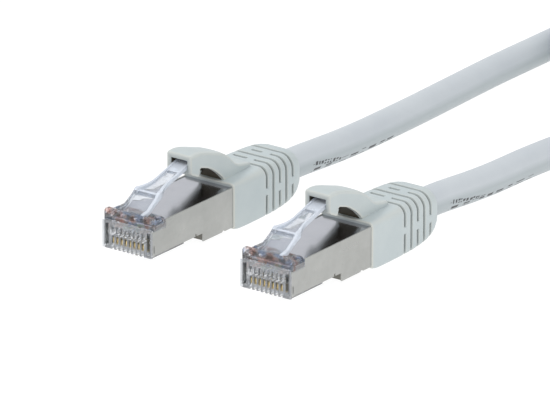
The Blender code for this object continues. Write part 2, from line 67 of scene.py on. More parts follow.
# ---------------------------------------------------------------- camera
TARGET = Vector((-8.88, 12.68, 2.6))
AZIMUTH = math.radians(36.49)
ELEVATION = math.radians(20.49)
CAMERA_DISTANCE = 1500
LENS = 508.2
toward_camera = Vector(
    (
        math.cos(ELEVATION) * math.sin(AZIMUTH),
        -math.cos(ELEVATION) * math.cos(AZIMUTH),
        math.sin(ELEVATION),
    )
)
camera_data = bpy.data.cameras.new("camera")
camera_data.sensor_fit = "HORIZONTAL"
camera_data.sensor_width = 36
camera_data.lens = LENS
camera_data.clip_end = 20
camera = bpy.data.objects.new("camera", camera_data)
bpy.context.scene.collection.objects.link(camera)
camera.location = (TARGET + toward_camera * CAMERA_DISTANCE) / 1000
camera.rotation_euler = (-toward_camera).to_track_quat("-Z", "Y").to_euler()
bpy.context.scene.camera = camera


# ---------------------------------------------------------------- materials
class Nodes:
    """A material's node tree, with short ways to add nodes and to join them."""

    def __init__(self, name):
        self.material = bpy.data.materials.new(name)
        self.material.use_nodes = True
        self.tree = self.material.node_tree
        self.shader = self.tree.nodes["Principled BSDF"]

    def add(self, kind, **settings):
        node = self.tree.nodes.new("ShaderNode" + kind)
        for name, value in settings.items():
            setattr(node, name, value)
        return node

    def join(self, source, target):
        self.tree.links.new(source, target)

    def noise(self, scale, detail=3, rough=0.55, stretch=None):
        """Noise in the object's own space, with the scale in features per millimetre."""
        place = self.add("TexCoord").outputs["Object"]
        if stretch:
            mapping = self.add("Mapping")
            mapping.inputs["Scale"].default_value = stretch
            self.join(place, mapping.inputs["Vector"])
            place = mapping.outputs["Vector"]
        texture = self.add("TexNoise")
        texture.inputs["Scale"].default_value = scale * 1000
        texture.inputs["Detail"].default_value = detail
        texture.inputs["Roughness"].default_value = rough
        self.join(place, texture.inputs["Vector"])
        return texture.outputs["Fac"]

    def ramp(self, value, *stops):
        """Colours or grey levels against a value."""
        node = self.add("ValToRGB")
        elements = node.color_ramp.elements
        while len(elements) < len(stops):
            elements.new(0.5)
        for element, (place, colour) in zip(elements, stops):
            element.position = place
            if not hasattr(colour, "__len__"):
                colour = (colour,) * 3
            element.color = (*colour, 1)
        self.join(value, node.inputs["Fac"])
        return node.outputs["Color"]

    def mix(self, factor, first, second, kind="MIX"):
        node = self.add("Mix", data_type="RGBA", blend_type=kind)
        sockets = (node.inputs[0], node.inputs[6], node.inputs[7])
        for socket, value in zip(sockets, (factor, first, second)):
            if isinstance(value, bpy.types.NodeSocket):
                self.join(value, socket)
            elif hasattr(value, "__len__"):
                socket.default_value = (*value, 1)
            else:
                socket.default_value = value
        return node.outputs[2]

    def math(self, kind, first, second=0.0):
        node = self.add("Math", operation=kind)
        for socket, value in zip(node.inputs, (first, second)):
            if isinstance(value, bpy.types.NodeSocket):
                self.join(value, socket)
            else:
                socket.default_value = value
        return node.outputs[0]

    def attribute(self, name):
        return self.add("Attribute", attribute_name=name).outputs["Fac"]

    def bump(self, height, distance_mm, strength=0.5):
        node = self.add("Bump")
        node.inputs["Strength"].default_value = strength
        node.inputs["Distance"].default_value = distance_mm / 1000
        self.join(height, node.inputs["Height"])
        self.join(node.outputs["Normal"], self.shader.inputs["Normal"])

    def colour(self, socket):
        self.join(socket, self.shader.inputs["Base Color"])

    def roughness(self, value, low, high):
        self.join(self.ramp(value, (0.3, low), (0.7, high)), self.shader.inputs["Roughness"])

    def set(self, **values):
        for name, value in values.items():
            self.shader.inputs[name.replace("_", " ")].default_value = value


def boot_material(name, deep):
    """Soft pale grey PVC: fine moulded grain, a painted highlight on its edges and painted shade where
    it is deep.
    """
    n = Nodes(name)
    n.set(Subsurface_Weight=0.0, Specular_IOR_Level=0.38)
    tone = n.ramp(n.noise(0.16, 4), (0.3, (0.490, 0.548, 0.560)), (0.7, (0.535, 0.588, 0.592)))
    # The edge attribute mixes in a painted highlight: a creamy light tone on groove lips, the front
    # edge and upper corners.
    edges = n.mix(n.attribute("edge"), tone, (0.640, 0.640, 0.585))
    # The deep attribute mixes in painted shade: the given dark tone in grooves, hollows and the rear
    # closure.
    shaded = n.mix(n.attribute("deep"), edges, deep)
    n.colour(shaded)
    n.roughness(n.noise(0.5), 0.42, 0.56)
    n.bump(n.noise(5.0, 2), 0.02, 0.35)
    return n.material


def jacket_material():
    """Pale grey PVC jacket with faint drawing lines, and painted shade low on its sides."""
    n = Nodes("cable_jacket")
    n.set(Specular_IOR_Level=0.42)
    tone = n.ramp(n.noise(0.09, 4), (0.3, (0.530, 0.563, 0.595)), (0.7, (0.570, 0.602, 0.628)))
    # Painted shade: the colour darkens towards the jacket's underside, where the surface faces down.
    under = n.add("SeparateXYZ")
    n.join(n.add("NewGeometry").outputs["Normal"], under.inputs["Vector"])
    underside_painted_shade = n.ramp(under.outputs["Z"], (0.0, 1.0), (0.38, 0.0))
    n.colour(n.mix(underside_painted_shade, tone, (0.425, 0.468, 0.485)))
    n.roughness(n.noise(0.35), 0.36, 0.5)
    n.bump(n.noise(0.8, 3, stretch=(1, 0.12, 1)), 0.03, 0.3)
    return n.material


def nickel_material(name, low, high, rough, mottle=0.25):
    """Thin plated sheet: slightly blotchy, with faint rolling marks along it."""
    n = Nodes(name)
    n.set(Metallic=1.0)
    n.colour(n.ramp(n.noise(mottle, 6, 0.7), (0.32, low), (0.68, high)))
    n.roughness(n.noise(0.9, 5, stretch=(1, 0.2, 1)), rough[0], rough[1])
    n.bump(n.noise(3.0, 3, stretch=(1, 0.15, 1)), 0.008, 0.25)
    return n.material


def clear_material(name, tint, rough, ior=1.45, through=0.96):
    """Moulded polycarbonate, clear with faint flow marks."""
    n = Nodes(name)
    n.set(IOR=ior, Transmission_Weight=through)
    low = tuple(c * 0.95 for c in tint)
    n.colour(n.ramp(n.noise(0.3), (0.3, low), (0.7, tint)))
    n.roughness(n.noise(0.8), rough[0], rough[1])
    n.bump(n.noise(0.7, 2), 0.03, 0.2)
    return n.material


def block_material():
    """The latch block's plastic, with pink and blue painted into its colour as a painted reflection of
    the conductors under it.
    """
    n = Nodes("latch_block_polycarbonate")
    n.set(IOR=1.45, Transmission_Weight=0.9)
    # The rose and blue patches are a painted reflection of the conductors seen through the block.
    rose, pale, blue = (0.66, 0.42, 0.37), (0.84, 0.81, 0.82), (0.50, 0.60, 0.78)
    n.colour(n.ramp(n.noise(0.42, 2), (0.42, rose), (0.48, pale), (0.52, pale), (0.58, blue)))
    n.roughness(n.noise(0.8), 0.04, 0.11)
    n.bump(n.noise(0.7, 2), 0.03, 0.2)
    return n.material


def plain_material(name, colour, rough, metallic=0.0, vary=0.1, scale=1.0, bump=0.01):
    """A small part's finish: the colour wanders a little and the surface has a fine grain."""
    n = Nodes(name)
    n.set(Metallic=metallic)
    low = tuple(c * (1 - vary) for c in colour)
    high = tuple(min(1, c * (1 + vary)) for c in colour)
    n.colour(n.ramp(n.noise(scale), (0.3, low), (0.7, high)))
    n.roughness(n.noise(scale * 2), rough * 0.85, min(1, rough * 1.15))
    n.bump(n.noise(scale * 4, 2), bump, 0.3)
    return n.material


def braid_material():
    """Tinned wire braid: two crossing sets of fine bands."""
    n = Nodes("tinned_braid")
    n.set(Metallic=1.0)
    place = n.add("TexCoord").outputs["Object"]
    bands = []
    for turn in (35, -35):
        mapping = n.add("Mapping")
        mapping.inputs["Rotation"].default_value = (0, 0, math.radians(turn))
        n.join(place, mapping.inputs["Vector"])
        wave = n.add("TexWave")
        wave.inputs["Scale"].default_value = 900
        n.join(mapping.outputs["Vector"], wave.inputs["Vector"])
        bands.append(wave.outputs["Fac"])
    weave = n.math("MAXIMUM", *bands)
    n.colour(n.ramp(weave, (0.2, (0.20, 0.20, 0.19)), (0.8, (0.70, 0.70, 0.68))))
    n.roughness(weave, 0.55, 0.35)
    n.bump(weave, 0.1, 0.6)
    return n.material


# The second colour is each material's painted shade tone, darker for the shade in the hood's hollow.
BOOT = boot_material("boot_pvc", (0.115, 0.108, 0.085))
HOOD = boot_material("hood_pvc", (0.072, 0.062, 0.042))
JACKET = jacket_material()
NICKEL = nickel_material(
    "shield_nickel", (0.400, 0.405, 0.390), (0.455, 0.460, 0.445), (0.26, 0.38)
)
PLATE = nickel_material(
    "shield_plate", (0.500, 0.505, 0.545), (0.545, 0.550, 0.590), (0.15, 0.21), mottle=0.12
)
# A darker copy of the shield's nickel for the belly's front step face: painted shade.
SHADED_NICKEL = nickel_material(
    "shield_front_painted_shade", (0.170, 0.166, 0.149), (0.221, 0.217, 0.196), (0.40, 0.55)
)
CLEAR = clear_material("clear_polycarbonate", (0.84, 0.86, 0.89), (0.04, 0.11), 1.45, 0.78)
BLOCK_CLEAR = block_material()
# A darker tint for the cheek pockets' faces: painted shade in these recesses.
CHEEK_PAINTED_SHADE = clear_material("cheek_polycarbonate_painted_shade", (0.58, 0.60, 0.61), (0.04, 0.11), 1.45, 0.85)
TAB_WEB_CLEAR = clear_material("tab_web", (0.83, 0.86, 0.91), (0.08, 0.16), 1.38, 0.86)
TAB_RAIL = clear_material("tab_rail", (0.81, 0.86, 0.94), (0.16, 0.28), 1.42, 0.28)
GOLD = plain_material("gold_plating", (0.80, 0.62, 0.28), 0.28, 1.0)
BAR = clear_material("load_bar_clear", (0.80, 0.82, 0.85), (0.15, 0.3))
BRAID = braid_material()
STRAP = plain_material("tie_strap", (0.045, 0.046, 0.050), 0.75, 0.0, 0.25, 2.0, 0.08)
WIRE_COLOURS = (
    ("wire_white_orange", (0.80, 0.50, 0.40)),
    ("wire_orange", (0.68, 0.22, 0.10)),
    ("wire_white_green", (0.50, 0.66, 0.52)),
    ("wire_blue", (0.10, 0.20, 0.46)),
    ("wire_white_blue", (0.55, 0.66, 0.80)),
    ("wire_green", (0.10, 0.34, 0.16)),
    ("wire_white_brown", (0.70, 0.54, 0.46)),
    ("wire_brown", (0.28, 0.13, 0.08)),
)
WIRES = [plain_material(name, colour, 0.35, 0.0, 0.08, 0.6) for name, colour in WIRE_COLOURS]


# ---------------------------------------------------------------- mesh helpers
def piece(name, points, faces, material, side=None, sharp=35, attributes=None):
    """A mesh object from points in millimetres, in a plug's coordinates or in the world's."""
    shift = PLUGS[side] if side else Vector((0, 0, 0))
    mesh = bpy.data.meshes.new(name)
    mesh.from_pydata([(Vector(p) + shift) / 1000 for p in points], [], faces)
    for key, values in (attributes or {}).items():
        layer = mesh.attributes.new(key, "FLOAT", "POINT")
        layer.data.foreach_set("value", values)
    mesh.validate()
    mesh.shade_smooth()
    mesh.set_sharp_from_angle(angle=math.radians(sharp))
    mesh.materials.append(material)
    obj = bpy.data.objects.new(name, mesh)
    bpy.context.scene.collection.objects.link(obj)
    return obj


def skin(rings, start_cap=True, end_cap=True, closed=True):
    """Faces over rings that have the same number of points, numbered ring after ring."""
    count = len(rings[0])
    faces = []
    for i in range(len(rings) - 1):
        for j in range(count if closed else count - 1):
            k = (j + 1) % count
            faces.append((i * count + j, i * count + k, (i + 1) * count + k, (i + 1) * count + j))
    if start_cap:
        faces.append(tuple(reversed(range(count))))
    if end_cap:
        base = (len(rings) - 1) * count
        faces.append(tuple(range(base, base + count)))
    return [point for ring in rings for point in ring], faces


def face_out(obj):
    """Turns every face outwards."""
    shape = bmesh.new()
    shape.from_mesh(obj.data)
    bmesh.ops.recalc_face_normals(shape, faces=shape.faces)
    shape.to_mesh(obj.data)
    shape.free()
    return obj


def joined(parts):
    """One list of points and faces from several."""
    points, faces = [], []
    for more_points, more_faces in parts:
        base = len(points)
        points += more_points
        faces += [tuple(base + index for index in face) for face in more_faces]
    return points, faces


def prism(outline, axis, start, end):
    """A flat outline swept along an axis. Its two coordinates are the other axes in order."""
    rings = []
    for level in (start, end):
        ring = []
        for u, v in outline:
            point = [u, v]
            point.insert("xyz".index(axis), level)
            ring.append(tuple(point))
        rings.append(ring)
    return skin(rings)


def block(low, high):
    """A box between two corners."""
    x0, y0, z0 = low
    x1, y1, z1 = high
    return prism(((x0, y0), (x1, y0), (x1, y1), (x0, y1)), "z", z0, z1)


def rounded_edges(obj, width_mm, segments=2, angle=40):
    """Bevels the mesh's sharp edges. Its own faces stay flat, and only the bevels are smooth."""
    shape = bmesh.new()
    shape.from_mesh(obj.data)
    bmesh.ops.remove_doubles(shape, verts=shape.verts, dist=1e-7)
    bmesh.ops.recalc_face_normals(shape, faces=shape.faces)
    limit = math.radians(angle)
    edges = [
        edge
        for edge in shape.edges
        if len(edge.link_faces) == 2 and edge.calc_face_angle(0) > limit
    ]
    for face in shape.faces:
        face.smooth = False
    rounded = bmesh.ops.bevel(
        shape,
        geom=edges,
        offset=width_mm / 1000,
        segments=segments,
        profile=0.5,
        affect="EDGES",
        clamp_overlap=True,
    )
    for face in rounded["faces"]:
        face.smooth = True
    shape.to_mesh(obj.data)
    shape.free()
    return obj


def carved(target, cutters, operation="DIFFERENCE"):
    """The target with the cutters taken away from it, or added to it, as one mesh."""
    for cutter in cutters:
        modifier = target.modifiers.new("cut", "BOOLEAN")
        modifier.operation = operation
        modifier.solver = "EXACT"
        modifier.object = cutter
    bpy.context.view_layer.update()
    graph = bpy.context.evaluated_depsgraph_get()
    mesh = bpy.data.meshes.new_from_object(target.evaluated_get(graph))
    target.modifiers.clear()
    old = target.data
    target.data = mesh
    bpy.data.meshes.remove(old)
    for cutter in cutters:
        bpy.data.objects.remove(cutter, do_unlink=True)
    return target


def lerp_table(table, y):
    """The row of numbers at y, read between the rows of a table that start with y."""
    if y <= table[0][0]:
        return list(table[0][1:])
    for first, second in zip(table, table[1:]):
        if y <= second[0]:
            t = (y - first[0]) / (second[0] - first[0])
            return [a + (b - a) * t for a, b in zip(first[1:], second[1:])]
    return list(table[-1][1:])


# ---------------------------------------------------------------- the cable's way
# Each end's route from its boot to the hank, in world coordinates
ROUTE_A = (
    (-16.9, 25.0, 4.9), (-16.9, 33.0, 4.6), (-17.1, 42.0, 3.95), (-17.4, 51.0, 3.45),
    (-17.6, 60.0, 3.3), (-18.0, 73.0, 3.15), (-18.6, 88.0, 3.1), (-19.0, 101.0, 3.1),
    (-19.0, 113.6, 3.1), (-19.0, 123.0, 3.1), (-19.0, 132.0, 3.1),
)
ROUTE_B = (
    (16.9, 23.6, 4.9), (17.0, 31.5, 4.6), (17.2, 40.0, 3.95), (17.3, 49.0, 3.45),
    (17.4, 58.0, 3.3), (18.0, 68.0, 3.15), (20.0, 79.0, 3.1), (23.6, 91.0, 3.1),
    (27.4, 103.0, 3.1), (29.6, 112.6, 3.1), (30.5, 122.0, 3.1), (30.6, 132.0, 3.1),
)
CABLE_R = 3.1
# The hank: three strands in a bundle, along two straight sides and round two ends
HANK_X, HANK_NEAR, HANK_FAR = 5.8, 132.0, 190.9
BUNDLE_R = 18.6 + CABLE_R
STRAND_OUT = CABLE_R * 2 / math.sqrt(3)
OUTER, UPPER, INNER = -30, 90, 210  # the strands' angles round the bundle's middle
STRANDS = (OUTER, UPPER, INNER)
STRAIGHT_STEPS = 8
ARC_STEPS = 20
TIE_Y = (HANK_NEAR + HANK_FAR) / 2
TIE_WIDTH = 8.0
TIE_LIFT = 0.55
TIE_REACH = 16


def eased(t):
    """A share from 0 to 1 that starts and ends gently."""
    return t * t * (3 - 2 * t)


def spline_way(points, steps):
    """Points on a smooth curve through the given ones, some to each leg."""
    points = [Vector(p) for p in points]
    padded = [2 * points[0] - points[1], *points, 2 * points[-1] - points[-2]]
    way = []
    for before, start, end, after in zip(padded, padded[1:], padded[2:], padded[3:]):
        for step in range(steps):
            t = step / steps
            way.append(
                (
                    2 * start
                    + (end - before) * t
                    + (2 * before - 5 * start + 4 * end - after) * t**2
                    + (3 * start - before - 3 * end + after) * t**3
                )
                / 2
            )
    way.append(points[-1])
    return way


def lift(y):
    """How far the tie's strap lifts the strands off the floor."""
    reach = abs(y - TIE_Y) - TIE_WIDTH / 2
    return TIE_LIFT * eased(max(0.0, 1 - max(0.0, reach) / TIE_REACH))


def bundle_place(strand, turned=0):
    """Where a strand runs: its distance out from the hank's middle, and its height."""
    lowest = max(-math.sin(math.radians(angle - turned)) for angle in STRANDS)
    angle = math.radians(strand - turned)
    out = BUNDLE_R + STRAND_OUT * math.cos(angle)
    return out, CABLE_R + STRAND_OUT * (lowest + math.sin(angle))


def straight(sign, strand, forwards):
    """A strand's straight run on one side of the hank."""
    out, z = bundle_place(strand)
    run = []
    for step in range(STRAIGHT_STEPS + 1):
        y = HANK_NEAR + (HANK_FAR - HANK_NEAR) * step / STRAIGHT_STEPS
        up = lift(y) if sign > 0 else 0
        run.append(Vector((HANK_X + sign * out, y, z + up)))
    return run if forwards else run[::-1]


def far_arc(strand):
    """Round the far end from left to right, with the bundle turning a third of a turn."""
    arc = []
    for step in range(1, ARC_STEPS):
        t = step / ARC_STEPS
        out, z = bundle_place(strand, 120 * eased(t))
        turn = math.pi * (1 - t)
        arc.append(Vector((HANK_X + out * math.cos(turn), HANK_FAR + out * math.sin(turn), z)))
    return arc


def near_arc(strand):
    """Round the near end from right to left."""
    out, z = bundle_place(strand)
    arc = []
    for step in range(1, ARC_STEPS):
        turn = -math.pi * step / ARC_STEPS
        arc.append(Vector((HANK_X + out * math.cos(turn), HANK_NEAR + out * math.sin(turn), z)))
    return arc


def cable_way():
    """The whole free cable, from boot to boot."""
    way = spline_way(ROUTE_A, 2)[:-1]
    way += straight(-1, OUTER, True) + far_arc(OUTER)
    way += straight(1, INNER, False) + near_arc(INNER)
    way += straight(-1, INNER, True) + far_arc(INNER)
    way += straight(1, UPPER, False) + near_arc(UPPER)
    way += straight(-1, UPPER, True) + far_arc(UPPER)
    way += straight(1, OUTER, False)
    way += spline_way(ROUTE_B, 2)[::-1][1:]
    return spline_way(way, 2)


def tube_mesh(way, radius, around=28):
    """Rings along a way, each starting level on the right of the way."""
    rings = []
    for index, point in enumerate(way):
        before = way[max(0, index - 1)]
        after = way[min(len(way) - 1, index + 1)]
        along = (after - before).normalized()
        right = along.cross(Vector((0, 0, 1))).normalized()
        up = right.cross(along).normalized()
        ring = []
        for step in range(around):
            angle = 2 * math.pi * step / around
            ring.append(point + (right * math.cos(angle) + up * math.sin(angle)) * radius)
        rings.append(ring)
    return skin(rings)


def make_cable():
    way = cable_way()
    points, faces = tube_mesh(way, CABLE_R)
    cable = piece("patch_cable", points, faces, JACKET, sharp=60)
    face_out(cable)
    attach(cable, ROOT)
    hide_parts("cable_run_a", "cable_run_b", "cable_hank")
    marks = [make_print(way, "a", 0), make_print(way[::-1], "b", 1)]


# ---------------------------------------------------------------- print line on the cable
PRINT = plain_material("print_ink", (0.075, 0.078, 0.082), 0.55)
# Generic dashes that spell nothing. Distance from the boot, length, width, angle in degrees
FIRST_MARKS = ((1.4, 0.6, 1.7, -26), (7.0, 0.5, 1.9, -24), (7.9, 2.2, 0.7, -33), (12.0, 2.0, 0.8, -36))
TICKS_START, DASHES_START, DASHES_END = 7.8, 17, 36
PRINT_PROUD, PRINT_DEPTH = 0.012, 0.15


def print_marks(seed):
    """The first marks, then a row of small ticks that sinks out of sight, then long dashes."""
    chance = random.Random(seed)
    marks = list(FIRST_MARKS)
    along = TICKS_START
    while along < DASHES_START:
        size = chance.uniform(0.35, 0.85)
        width = chance.uniform(0.5, 0.9)
        marks.append((along, size, width, -6 - 2.2 * (along - TICKS_START)))
        along += size + chance.uniform(0.2, 0.6)
    while along < DASHES_END:
        size = chance.uniform(1.3, 2.8)
        width = chance.uniform(0.7, 1.3)
        marks.append((along, size, width, -29 - chance.uniform(0, 6)))
        along += size + chance.uniform(0.6, 1.6)
    return marks


def place_on(way, along):
    """A point and its directions at a distance along the way."""
    for first, second in zip(way, way[1:]):
        leg = (second - first).length
        if along <= leg:
            ahead = (second - first).normalized()
            right = ahead.cross(Vector((0, 0, 1))).normalized()
            return first.lerp(second, along / leg), right, right.cross(ahead)
        along -= leg
    raise ValueError("the way is shorter than that")


def make_print(way, side, seed):
    """Short broken dashes low on the cable's right side, just proud of the jacket."""
    corners = ((-0.5, PRINT_PROUD), (0.5, PRINT_PROUD), (0.5, -PRINT_DEPTH), (-0.5, -PRINT_DEPTH))
    parts = []
    for start, size, width, degrees in print_marks(seed):
        rings = []
        steps = max(2, int(size / 0.4) + 1)
        for step in range(steps + 1):
            centre, right, up = place_on(way, start + size * step / steps)
            ring = []
            for level, height in corners:
                arc = math.radians(degrees) + width * level / CABLE_R
                out = right * math.cos(arc) + up * math.sin(arc)
                ring.append(centre + out * (CABLE_R + height))
            rings.append(ring)
        parts.append(skin(rings))
    marks = piece("print_line_" + side, *joined(parts), PRINT)
    face_out(marks)
    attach(marks, ROOT)
    return marks


def round_strand(strand, degrees, radius, y):
    """A point round one of the tied strands on the hank's right side."""
    out, z = bundle_place(strand)
    angle = math.radians(degrees)
    return (
        HANK_X + out + radius * math.cos(angle),
        TIE_Y + y,
        TIE_LIFT + z + radius * math.sin(angle),
    )


def make_tie():
    """A hook-and-loop strap, snug round the three strands on the hank's right side."""
    reach = CABLE_R + 0.03
    half = TIE_WIDTH / 2
    section = (
        (0.0, -half), (0.18, -half), (0.40, -half + 0.25), (0.46, -half + 0.6),
        (0.46, half - 0.6), (0.40, half - 0.25), (0.18, half), (0.0, half),
    )
    rings = []
    for thick, y in section:
        ring = []
        for strand in STRANDS:
            for step in range(9):
                ring.append(round_strand(strand, strand - 60 + 15 * step, reach + thick, y))
        rings.append(ring)
    rings.append(rings[0])
    strap = joined((skin(rings, False, False), tie_end()))
    obj = piece("hank_strap", *strap, STRAP, sharp=60)
    face_out(obj)
    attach(obj, ROOT)
    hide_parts("hank_tie")
    return obj


def tie_end():
    """The strap's overlapped end on top of the bundle."""
    half = TIE_WIDTH / 2 - 0.3
    base = CABLE_R + 0.45
    low = base - 0.1
    steps = 8
    rings = []
    for step in range(steps + 1):
        high = base + (0.45 if 0 < step < steps else 0.12)
        section = ((-half, low), (-half, high), (half, high), (half, low))
        rings.append([round_strand(UPPER, 40 + 11 * step, radius, y) for y, radius in section])
    return skin(rings)


tie = make_tie()
make_cable()

# ---------------------------------------------------------------- boot
# y, half width, bottom, top, upper corner radius, lower corner radius
BOOT_SECTIONS = (
    (25.65, 5.85, 0.75, 9.50, 0.7, 0.4),
    (25.77, 6.02, 0.56, 9.65, 0.85, 0.45),
    (26.05, 6.10, 0.40, 9.70, 0.9, 0.5),
    (27.5, 6.10, 0.10, 9.75, 1.1, 0.5),
    (31.0, 6.10, 0.02, 9.88, 1.4, 0.6),
    (35.0, 6.10, 0.02, 10.02, 1.8, 0.7),
    (39.0, 6.10, 0.05, 10.08, 2.2, 0.9),
    (42.5, 6.05, 0.20, 10.12, 2.5, 1.3),
    (45.0, 6.00, 0.45, 10.12, 2.8, 1.8),
    (46.8, 5.82, 0.85, 10.00, 3.2, 2.4),
    (47.8, 5.45, 1.30, 9.75, 3.35, 2.9),
    (48.4, 5.00, 1.80, 9.40, 3.35, 3.2),
    (48.6, 4.55, 2.20, 9.05, 3.2, 3.2),
)
CABLE_Z = 4.9
GROOVES = tuple(36.35 + 2.13 * index for index in range(5))
# Grooves with a bridge half way up the side, and the bridge's ends in z
SIDE_BRIDGED = (0, 2, 4)
SIDE_BRIDGE = (4.1, 5.7)
# Where each groove runs on the boot's top, as ranges of x. None runs right across.
TOP_RUNS = (
    ((-9, -4.9), (-2.6, -1.0), (1.6, 9)),
    ((-9, -4.9), (-3.5, -0.3), (1.5, 9)),
    None,
    ((-9, -4.9), (-2.25, 0.0), (2.3, 9)),
    None,
)
GROOVE_DEPTH = 0.75
SOFT_FROM, SOFT_TO, SOFT_REACH = 27.0, 47.0, 0.7
PAINTED_HIGHLIGHT_TO = 36  # the upper corners get more painted highlight in front of this
# The rear closes round the cable: y, radius, how much painted shade
BOOT_REAR = ((48.66, 3.75, 0.1), (48.55, 3.28, 0.8), (46.8, 3.22, 1.0))
# The front turns in behind the shield: y, distance in from the side, how much painted shade
BOOT_INSIDE = ((26.9, 0.85, 0.8), (25.71, 0.75, 0.1))
TOP_STEPS, CORNER_STEPS, SIDE_STEPS, BOTTOM_STEPS = 30, 8, 18, 10
# Across a groove: distance from its middle and share of its depth
GROOVE_SHAPE = ((0.48, 0.0), (0.36, 0.05), (0.30, 0.30), (0.26, 0.92), (0.16, 1.0))


def boot_ring(half, bottom, top, upper, lower):
    """Points round a section, each with its outward direction, from the top's right end on."""
    ring = []

    def run(start, end, steps, out):
        for step in range(steps):
            t = step / steps
            ring.append(
                (start[0] + (end[0] - start[0]) * t, start[1] + (end[1] - start[1]) * t, *out)
            )

    def corner(centre, radius, quarter):
        for step in range(CORNER_STEPS):
            a = math.pi / 2 * (quarter + step / CORNER_STEPS)
            out = (math.cos(a), math.sin(a))
            ring.append((centre[0] + radius * out[0], centre[1] + radius * out[1], *out))

    inner_up, inner_low = half - upper, half - lower
    corner((inner_up, top - upper), upper, 0)
    run((inner_up, top), (-inner_up, top), TOP_STEPS, (0, 1))
    corner((-inner_up, top - upper), upper, 1)
    run((-half, top - upper), (-half, bottom + lower), SIDE_STEPS, (-1, 0))
    corner((-inner_low, bottom + lower), lower, 2)
    run((-inner_low, bottom), (inner_low, bottom), BOTTOM_STEPS, (0, -1))
    corner((inner_low, bottom + lower), lower, 3)
    run((half, bottom + lower), (half, top - upper), SIDE_STEPS, (1, 0))
    return ring


def groove_open(index, x, z, out_z):
    """True where the groove is cut at this point of the section."""
    if out_z > 0.75:
        runs = TOP_RUNS[index]
        return runs is None or any(low <= x <= high for low, high in runs)
    if index in SIDE_BRIDGED and abs(out_z) < 0.4:
        return not SIDE_BRIDGE[0] < z < SIDE_BRIDGE[1]
    return True


def groove_share(y, x, z, out_z):
    """How deep a groove is at this point of the boot, from 0 to 1."""
    for index, middle in enumerate(GROOVES):
        away = abs(y - middle)
        if away <= GROOVE_SHAPE[0][0] + 1e-6:
            if not groove_open(index, x, z, out_z):
                return 0.0
            for (far, low), (near, high) in zip(GROOVE_SHAPE, GROOVE_SHAPE[1:]):
                if away >= near - 1e-9:
                    t = (far - away) / (far - near)
                    return low + (high - low) * t
            return 1.0
    return 0.0


def boot_levels():
    """Every y at which the boot has a ring: its sections, an even spread and the grooves."""
    levels = {section[0] for section in BOOT_SECTIONS}
    levels |= {BOOT_SECTIONS[2][0] + step * 0.9 for step in range(12)}
    for middle in GROOVES:
        for away, _ in GROOVE_SHAPE:
            levels |= {middle - away, middle + away}
        levels |= {middle, middle + 0.85, middle + 1.28}
    return sorted(level for level in levels if BOOT_SECTIONS[0][0] <= level <= BOOT_SECTIONS[-1][0])


def soft_table(table, y):
    """The table read with eased joints between its rows, so that a moulded side has no kinks."""
    here = lerp_table(table, y)
    if not SOFT_FROM <= y <= SOFT_TO:
        return here
    near = lerp_table(table, y - SOFT_REACH)
    far = lerp_table(table, y + SOFT_REACH)
    return [(a + 2 * b + c) / 4 for a, b, c in zip(near, here, far)]


def boot_painted_highlight(y, share, out_x, out_z):
    """How much painted highlight the boot has here: at a groove's lip, at the front and at an upper
    corner.
    """
    lip = max(0.0, 1 - abs(share - 0.12) / 0.14) if share else 0.0
    front = max(0.0, 1 - abs(y - BOOT_SECTIONS[1][0]) / 0.35)
    turned = 0.4 * (1 - abs(abs(out_x) - abs(out_z))) if out_z > 0.1 and out_x else 0.0
    corner = turned * (1 if y < PAINTED_HIGHLIGHT_TO else 0.45)
    return min(1.0, max(lip, 0.9 * front, corner))


def make_boot(side):
    """The boot from its inside front, out over the front edge and back to the cable."""
    rings, edge, deep = [], [], []
    half, bottom, top, upper, _ = BOOT_SECTIONS[2][1:]
    for y, inset, dark in BOOT_INSIDE:
        section = (half - inset, bottom + inset, top - inset, max(0.3, upper - inset), 0.3)
        rings.append([(x, y, z) for x, z, _, _ in boot_ring(*section)])
        edge += [0.0] * len(rings[-1])
        deep += [dark] * len(rings[-1])
    for y in boot_levels():
        ring = []
        for x, z, out_x, out_z in boot_ring(*soft_table(BOOT_SECTIONS, y)):
            share = groove_share(y, x, z, out_z)
            wobble = 0.025 * noise_of.noise(Vector((x, y, z)) * 0.35)
            sink = GROOVE_DEPTH * share - wobble
            ring.append((x - out_x * sink, y, z - out_z * sink))
            # The edge list carries painted highlight, and the deep list carries painted shade from the
            # groove's depth.
            edge.append(boot_painted_highlight(y, share, out_x, out_z))
            deep.append(min(1.0, max(0.0, (share - 0.35) / 0.5)))
        rings.append(ring)
    for y, radius, dark in BOOT_REAR:
        ring = []
        for x, z, _, _ in boot_ring(*BOOT_SECTIONS[-1][1:]):
            angle = math.atan2(z - CABLE_Z, x)
            ring.append((radius * math.cos(angle), y, CABLE_Z + radius * math.sin(angle)))
        rings.append(ring)
        edge += [0.0] * len(ring)
        deep += [dark] * len(ring)
    points, faces = skin(rings)
    boot = piece("boot_" + side, points, faces, BOOT, side, 38, {"edge": edge, "deep": deep})
    face_out(boot)
    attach(boot, ROOT)
    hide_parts("strain_boot_" + side)


